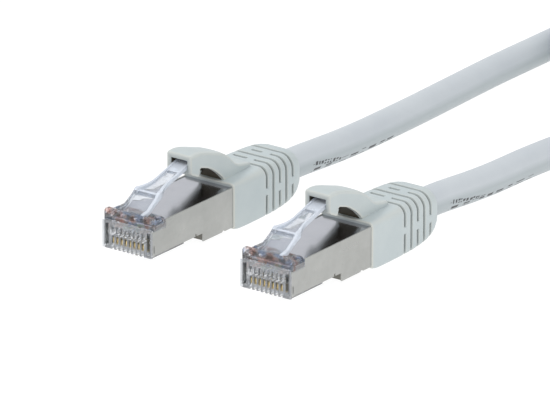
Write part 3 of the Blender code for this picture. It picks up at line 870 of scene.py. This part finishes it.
# ---------------------------------------------------------------- hood over the tab
# y, top of the side wall, its lower edge on the right, half width, crown, roof of the hollow
HOOD_ROWS = (
    (16.30, 17.25, 13.95, 2.78, 0.05, 16.42),
    (16.38, 17.40, 13.80, 2.92, 0.06, 16.44),
    (16.60, 17.48, 13.60, 3.00, 0.08, 16.46),
    (17.80, 17.56, 13.05, 3.02, 0.10, 16.46),
    (18.50, 17.52, 12.80, 3.02, 0.12, 16.44),
    (18.66, 17.50, 12.95, 3.02, 0.12, 16.42),
    (18.90, 17.46, 14.15, 3.02, 0.14, 16.40),
    (19.30, 17.42, 14.35, 3.01, 0.16, 16.36),
    (20.30, 17.18, 14.05, 2.99, 0.18, 16.25),
    (21.50, 16.86, 13.65, 2.96, 0.20, 15.95),
    (22.60, 16.50, 13.20, 2.95, 0.22, 15.50),
    (23.70, 16.14, 12.45, 2.95, 0.22, 14.90),
    (24.70, 15.84, 11.75, 2.96, 0.22, 14.20),
    (25.50, 15.58, 11.05, 2.97, 0.20, 13.30),
    (26.10, 15.36, 10.50, 2.98, 0.18, 12.20),
    (26.50, 15.18, 9.90, 2.98, 0.17, 9.60),
    (27.20, 14.80, 9.50, 2.99, 0.15, 9.50),
    (28.20, 14.15, 9.50, 3.00, 0.12, 9.50),
    (28.90, 13.50, 9.50, 3.00, 0.10, 9.50),
    (29.60, 12.80, 9.50, 3.00, 0.08, 9.50),
    (30.40, 12.10, 9.50, 3.00, 0.07, 9.50),
    (31.50, 11.55, 9.50, 3.00, 0.06, 9.50),
    (33.00, 11.20, 9.50, 3.00, 0.05, 9.50),
    (34.20, 11.02, 9.50, 3.00, 0.04, 9.50),
    (34.80, 10.90, 9.50, 2.95, 0.03, 9.50),
    (35.20, 10.65, 9.50, 2.85, 0.02, 9.50),
    (35.42, 10.30, 9.50, 2.65, 0.00, 9.50),
    (35.50, 9.95, 9.50, 2.45, 0.00, 9.50),
)
# The left wall's lower edge falls straight from the collar's foot to the boot.
LEFT_FOOT = ((18.9, 13.54), (26.2, 10.60))
HOOD_INNER = 1.95
HOOD_CORNER = 0.42
HOOD_WALL = (0.0, 0.04, 0.15, 0.4, 0.7, 0.92)  # shares of a side wall's height
HOLLOW_POINTS = 5  # on each side of the hollow
# The lip under the hood's mouth, on the right side: x, z, and where it stands at its two ends
HOOD_LIP = (
    (2.05, 15.0), (2.6, 14.2), (2.2, 13.62), (0.75, 13.50), (0.55, 13.72), (1.45, 14.18),
    (1.80, 14.75),
)
HOOD_FACE_END = 16.45
LIP_ENDS = ((HOOD_FACE_END, 0.0, 0.0), (18.4, -0.35, 0.15))  # y, rise, slide outwards


def hood_ring(y, top, low, half, crown, roof):
    """Round the outside from the right wall's foot, and back along the hollow."""
    ring, edge, deep = [], [], []
    corner = min(HOOD_CORNER, (top - low) * 0.3)
    left = lerp_table(LEFT_FOOT, y)[0] if LEFT_FOOT[0][0] <= y <= LEFT_FOOT[1][0] else low

    # Each point carries a share of painted highlight and a share of painted shade.
    def put(x, z, highlight_share, dark):
        ring.append((x, y, z))
        edge.append(highlight_share)
        deep.append(dark)

    def wall(sign, foot, shares):
        for t in shares:
            put(sign * half, foot + (top - corner - foot) * t, 0.7 if t < 0.1 else 0.1, 0.0)

    def shoulder(sign, first_quarter):
        for step in range(6):
            a = math.pi / 2 * (first_quarter + step / 5)
            x = sign * (half - corner) + corner * math.cos(a)
            put(x, top - corner + corner * math.sin(a), 0.4, 0.0)

    wall(1, low, HOOD_WALL)
    shoulder(1, 0)
    for step in range(1, 8):
        x = (half - corner) * (1 - step / 4)
        put(x, top + crown * (1 - (x / half) ** 2), 0.12, 0.0)
    shoulder(-1, 1)
    wall(-1, left, HOOD_WALL[::-1])
    hollow = roof > 9.7
    inner = HOOD_INNER if hollow else half * 0.9
    # The hollow's walls and roof carry full painted shade, with a little painted highlight on their
    # rim.
    for sign, foot in ((-1, left), (1, low)):
        foot = foot if hollow else roof
        rim = 0.1 if hollow else 0.0
        line = (
            (inner + rim, foot, 0.3, 0.0),
            (inner, foot + rim, 0.0, 1.0),
            (inner, (foot + roof) / 2, 0.0, 1.0),
            (inner, roof, 0.0, 1.0),
            (inner / 3, roof, 0.0, 1.0),
        )
        for x, z, highlight_share, dark in line if sign < 0 else reversed(line):
            put(sign * x, z, highlight_share, dark)
    return ring, edge, deep


def hood_lip(sign):
    """One of the two lips that close in under the hood's mouth."""
    rings = []
    for y, rise, slide in LIP_ENDS:
        rings.append([(sign * (x + slide), y, z + rise) for x, z in HOOD_LIP])
    return skin(rings)


def make_hood(side):
    """The hood, hollow over the tab and solid behind it, down to its root on the boot."""
    rings, edge, deep = [], [], []
    for row in HOOD_ROWS:
        ring, more_edge, more_deep = hood_ring(*row)
        front = row[0] < HOOD_FACE_END
        rings.append(ring)
        # The front face gets more painted highlight and less painted shade.
        edge += [max(e, 0.55) if front and d < 0.5 else e for e, d in zip(more_edge, more_deep)]
        deep += [d * 0.3 if front else d for d in more_deep]
    points, faces = skin(rings, start_cap=False, end_cap=True)
    # The front face is a frame, open between the inner walls.
    count = len(rings[0])
    outer = list(range(count - 2 * HOLLOW_POINTS))
    inner = list(range(count - 1, count - 2 * HOLLOW_POINTS - 1, -1))
    faces += frame_faces(points, outer, inner)
    total = len(points)
    points, faces = joined([(points, faces), hood_lip(1), hood_lip(-1)])
    # The lips get a little painted highlight and a little painted shade.
    edge += [0.35] * (len(points) - total)
    deep += [0.12] * (len(points) - total)
    hood = piece("hood_" + side, points, faces, HOOD, side, 38, {"edge": edge, "deep": deep})
    face_out(hood)
    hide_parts("tab_hood_" + side)
    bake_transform(hood)


def frame_faces(points, outer, inner):
    """Faces between an outer and an inner line of points, walked by their share of length."""

    def shares(line):
        steps = [0.0]
        for a, b in zip(line, line[1:]):
            steps.append(steps[-1] + (Vector(points[b]) - Vector(points[a])).length)
        return [step / steps[-1] for step in steps]

    first, second = shares(outer), shares(inner)
    i = j = 0
    faces = []
    while i < len(outer) - 1 or j < len(inner) - 1:
        if j == len(inner) - 1 or (i < len(outer) - 1 and first[i + 1] <= second[j + 1]):
            faces.append((outer[i], outer[i + 1], inner[j]))
            i += 1
        else:
            faces.append((outer[i], inner[j + 1], inner[j]))
            j += 1
    return faces


# ---------------------------------------------------------------- shield
SHIELD_HALF = 5.85
SHEET = 0.3
# y and z of a side panel, from the nose along the belly and back over the top
SHIELD_SIDE = (
    (0.15, 2.6), (16.1, 2.6), (16.1, 0.9), (22.2, 0.9), (22.4, 1.15), (22.9, 1.15), (23.1, 0.9),
    (25.6, 0.9), (25.6, 9.1), (4.4, 9.1), (4.4, 7.65), (0.15, 7.65),
)


# A slot and a notch in each side panel: y and z of their low and high corners
SIDE_CUTS = (((0.55, 3.2), (0.85, 4.6)), ((13.7, 2.3), (14.3, 3.1)))


def make_shield(side):
    """The folded nickel shell with its stepped belly, and the bright plate under the tab."""
    panels = []
    for sign in (1, -1):
        start, end = sorted((sign * (SHIELD_HALF - SHEET), sign * SHIELD_HALF))
        panels.append(prism(SHIELD_SIDE, "x", start, end))
    reach = SHIELD_HALF - SHEET / 2
    panels += [
        block((-reach, 10.7, 2.7), (reach, 16.25, 3.0)),
        block((-reach, 16.2, 1.0), (reach, 24.7, 1.3)),
        block((-2.0, 24.0, 1.0), (2.0, 30.0, 1.3)),
    ]
    shell = piece("shield_" + side, *joined(panels), NICKEL, side)
    cutters = []
    for sign in (1, -1):
        start, end = sorted((sign * (SHIELD_HALF - 0.6), sign * (SHIELD_HALF + 1)))
        for low, high in SIDE_CUTS:
            cut = block((start, *low), (end, *high))
            cutters.append(piece("cutter", *cut, NICKEL, side))
    carved(shell, cutters)
    rounded_edges(shell, 0.07, 2)
    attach(shell, ROOT)
    # The belly's front step face wears the darker nickel copy, painted shade.
    step_face = block((-reach, 16.25, 1.05), (reach, 16.5, 2.9))
    step = piece("shield_step_" + side, *step_face, SHADED_NICKEL, side)
    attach(step, ROOT)
    plate = block((-reach, 4.5, 8.65), (reach, 26.4, 8.95))
    top = piece("shield_top_" + side, *plate, PLATE, side)
    rounded_edges(top, 0.05, 2)
    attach(top, ROOT)
    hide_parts("shield_shell_" + side)


# ---------------------------------------------------------------- clear housing
HOUSING_HALF = 5.5
HOUSING_LENGTH = 19
LATCH_BLOCK_SIDES = (-6.0, 5.9)
CHAMBER_HALF = 4.55
LEDGE_TOP = 7.9
CHEEK = 4.95
POCKETS = (-4.6, -1.6, 1.6, 4.6)
BLADE_HALF = 0.19
CONTACT_PLACES = tuple(
    (index - (CONTACT_COUNT - 1) / 2) * CONTACT_PITCH for index in range(CONTACT_COUNT)
)


def shouldered(low, shoulders):
    """The latch block seen from the front: its foot, and shoulders as (inset, z)."""
    left, right = LATCH_BLOCK_SIDES
    rising = [(right - inset, z) for inset, z in shoulders]
    falling = [(left + inset, z) for inset, z in reversed(shoulders)]
    return [(left, low), (right, low), *rising, *falling]


def housing_cuts():
    """The relief under the rear, the wire chamber, the comb, the cheeks and the block's pockets."""
    end = HOUSING_LENGTH + 1
    cuts = [
        block((-6, 10.4, 0), (6, end, 3.2)),
        block((-CHAMBER_HALF, 1.6, 5.6), (CHAMBER_HALF, end, 8.15)),
        block((-CHAMBER_HALF, 13.5, 3.6), (CHAMBER_HALF, end, 8.15)),
    ]
    for x in CONTACT_PLACES:
        cuts.append(block((x - 0.29, -1, 0), (x + 0.29, 5.3, 4.85)))
        cuts.append(block((x - 0.30, -1, 5.45), (x + 0.30, 0.45, 6.85)))
    for x in (-CHEEK, CHEEK):
        cuts.append(block((x - 0.4, -1, 2.7), (x + 0.4, 0.9, 7.2)))
    for x in POCKETS:
        cuts.append(block((x - 0.75, 1.1, 8.75), (x + 0.75, 3.7, 10)))
    return cuts


def make_housing(side):
    """The clear nose: a comb over the contacts, the raised latch block and the wire chamber."""
    half, length = HOUSING_HALF, HOUSING_LENGTH
    body = piece("housing_" + side, *block((-half, 0, 2.15), (half, length, 7.8)), CLEAR, side)
    additions = (
        prism(shouldered(7.4, ((0, 8.6), (0.5, 9.35), (0.95, 9.5))), "y", 0.7, 4.25),
        block((-6.05, 0, 2.2), (5.85, 0.13, 7.75)),
        prism(shouldered(7.6, ((0, 9.5), (0.25, 9.9), (0.6, 10.05))), "y", 0.6, 1.3),
        block((-5.4, 3.5, 7.0), (5.4, length, 8.5)),
    )
    carved(body, [piece("cutter", *shape, CLEAR, side) for shape in additions], "UNION")
    carved(body, [piece("cutter", *shape, CLEAR, side) for shape in housing_cuts()])
    rounded_edges(body, 0.13, 2)
    body.data.materials.append(BLOCK_CLEAR)
    body.data.materials.append(CHEEK_PAINTED_SHADE)
    for face in body.data.polygons:
        x, y, z = face.center * 1000 - PLUGS[side]
        if z > LEDGE_TOP:
            face.material_index = 1
        # The cheek pockets' faces get the darker tint, painted shade.
        elif abs(abs(x) - CHEEK) < 0.45 and 0.05 < y < 0.95:
            face.material_index = 2
    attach(body, ROOT)
    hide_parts("plug_housing_" + side)


def make_contacts(side):
    """Gold blades with a rounded foot in the comb, each reaching up to its conductor."""
    for number, x in enumerate(CONTACT_PLACES, 1):
        tip = 5.65 if number % 2 else 6.7
        outline = (
            (0.28, 3.75), (0.36, 3.35), (0.62, 3.05), (1.0, 2.95), (5.0, 3.05), (5.1, 3.3),
            (5.1, tip), (4.3, tip), (4.1, 4.7), (0.45, 4.55), (0.28, 4.3),
        )
        shape = prism(outline, "x", x - BLADE_HALF, x + BLADE_HALF)
        blade = piece(f"contact_blade_{number}_{side}", *shape, GOLD, side)
        rounded_edges(blade, 0.05, 2)
        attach(blade, ROOT)
        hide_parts(f"contact_{number}_{side}")


# ---------------------------------------------------------------- clear locking tab
# y, underside, half width, rail height, rail width, web
TAB_ROWS = (
    (0.95, 9.50, 3.10, 0.50, 0.75, 0.34),
    (1.10, 9.42, 3.20, 0.85, 0.80, 0.34),
    (2.80, 9.66, 3.15, 0.95, 0.72, 0.34),
    (4.00, 10.36, 3.05, 1.00, 0.66, 0.34),
    (5.40, 11.16, 3.02, 1.05, 0.66, 0.34),
    (5.90, 11.42, 3.03, 1.20, 0.75, 0.40),
    (6.20, 11.56, 3.05, 1.40, 0.85, 0.95),
    (6.60, 11.70, 3.05, 1.40, 0.95, 1.00),
    (7.00, 11.84, 2.95, 1.20, 0.95, 0.50),
    (7.50, 11.98, 2.72, 1.10, 0.85, 0.36),
    (8.20, 12.18, 2.35, 1.02, 0.68, 0.34),
    (9.00, 12.38, 2.02, 0.98, 0.56, 0.34),
    (9.90, 12.62, 1.80, 0.95, 0.50, 0.34),
    (11.1, 12.92, 1.74, 0.92, 0.46, 0.34),
    (13.4, 13.56, 1.74, 0.92, 0.46, 0.34),
    (14.2, 13.80, 1.75, 0.92, 0.46, 0.70),
    (15.5, 14.20, 1.76, 0.92, 0.48, 0.74),
    (17.0, 14.62, 1.80, 0.92, 0.48, 0.74),
    (18.30, 15.00, 1.80, 0.80, 0.48, 0.62),
)
TAB_SOFT = 0.08
# Sides of a tab's section, counted from its underside: the web's two faces and the left rail
WEB_SIDES = (0, 8)
LEFT_RAIL_SIDES = range(9, 15)
THIN_WEB = 0.45
LEFT_RAIL_CLEAR_TO = 5.8


def make_tab(side):
    """The locking tab: a thin web between two rails, with cross bars where the web is thick."""
    soft = TAB_SOFT
    rings = []
    for y, low, half, rail, width, thick in TAB_ROWS:
        web = low + min(thick, rail - 0.2)
        high = low + rail
        ring = [
            (-half + soft, low), (half - soft, low), (half, low + soft), (half, high - soft),
            (half - soft, high), (half - width + soft, high), (half - width, high - soft),
            (half - width, web + soft), (half - width - soft, web), (width - half + soft, web),
            (width - half, web + soft), (width - half, high - soft), (width - half - soft, high),
            (soft - half, high), (-half, high - soft), (-half, low + soft),
        ]
        rings.append([(x, y, z) for x, z in ring])
    tab = piece("latch_tab_" + side, *skin(rings), TAB_RAIL, side, 40)
    tab.data.materials.append(TAB_WEB_CLEAR)
    count = len(rings[0])
    start_cap = count * (len(rings) - 1)
    for index in range(start_cap):
        y, *_, thick = TAB_ROWS[index // count]
        clear_web = index % count in WEB_SIDES and thick < THIN_WEB
        clear_rail = index % count in LEFT_RAIL_SIDES and y < LEFT_RAIL_CLEAR_TO
        tab.data.polygons[index].material_index = int(clear_web or clear_rail)
    tab.data.polygons[start_cap].material_index = 1
    face_out(tab)
    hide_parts("locking_tab_" + side)
    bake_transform(tab)


def paint(node, material):
    """Gives a CAD node, which keeps its shape, a material."""
    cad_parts[node].data.materials.clear()
    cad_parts[node].data.materials.append(material)


for plug in PLUGS:
    make_boot(plug)
    make_hood(plug)
    make_shield(plug)
    make_housing(plug)
    make_contacts(plug)
    make_tab(plug)
    paint("load_bar_" + plug, BAR)
    paint("braid_collar_" + plug, BRAID)
    paint("crimp_ferrule_" + plug, NICKEL)
    paint("cable_jacket_end_" + plug, JACKET)
    for number, wire in enumerate(WIRES, 1):
        paint(f"conductor_{number}_{plug}", wire)

# ---------------------------------------------------------------- floor and light
FLOOR_HALF, FLOOR_Z = 4000, -0.03
floor_nodes = Nodes("floor")
floor_nodes.set(Roughness=0.9, Emission_Strength=0.96, Emission_Color=(1, 1, 1, 1))
floor_nodes.colour(floor_nodes.ramp(floor_nodes.noise(0.002), (0.3, 0.09), (0.7, 0.10)))
corners = ((-1, -1), (1, -1), (1, 1), (-1, 1))
floor_points = [(FLOOR_HALF * x, FLOOR_HALF * y, FLOOR_Z) for x, y in corners]
floor = piece("floor", floor_points, [(0, 1, 2, 3)], floor_nodes.material)

world = bpy.data.worlds.new("studio")
world.use_nodes = True
background = world.node_tree.nodes["Background"]
background.inputs["Color"].default_value = (0.97, 0.985, 1.0, 1)
background.inputs["Strength"].default_value = 0.89
bpy.context.scene.world = world


def soft_light(name, place, size, power):
    """A square area light that faces the origin."""
    data = bpy.data.lights.new(name, "AREA")
    data.shape = "SQUARE"
    data.size = size
    data.energy = power
    light = bpy.data.objects.new(name, data)
    light.location = place
    light.rotation_euler = (-Vector(place)).to_track_quat("-Z", "Y").to_euler()
    bpy.context.scene.collection.objects.link(light)


soft_light("key", (-0.7, -0.35, 0.9), 0.6, 3.2)
soft_light("fill", (0.72, -0.42, 0.86), 0.8, 1.8)

view = bpy.context.scene.view_settings
view.view_transform = "Standard"
view.look = "None"
view.exposure = 0
view.gamma = 1
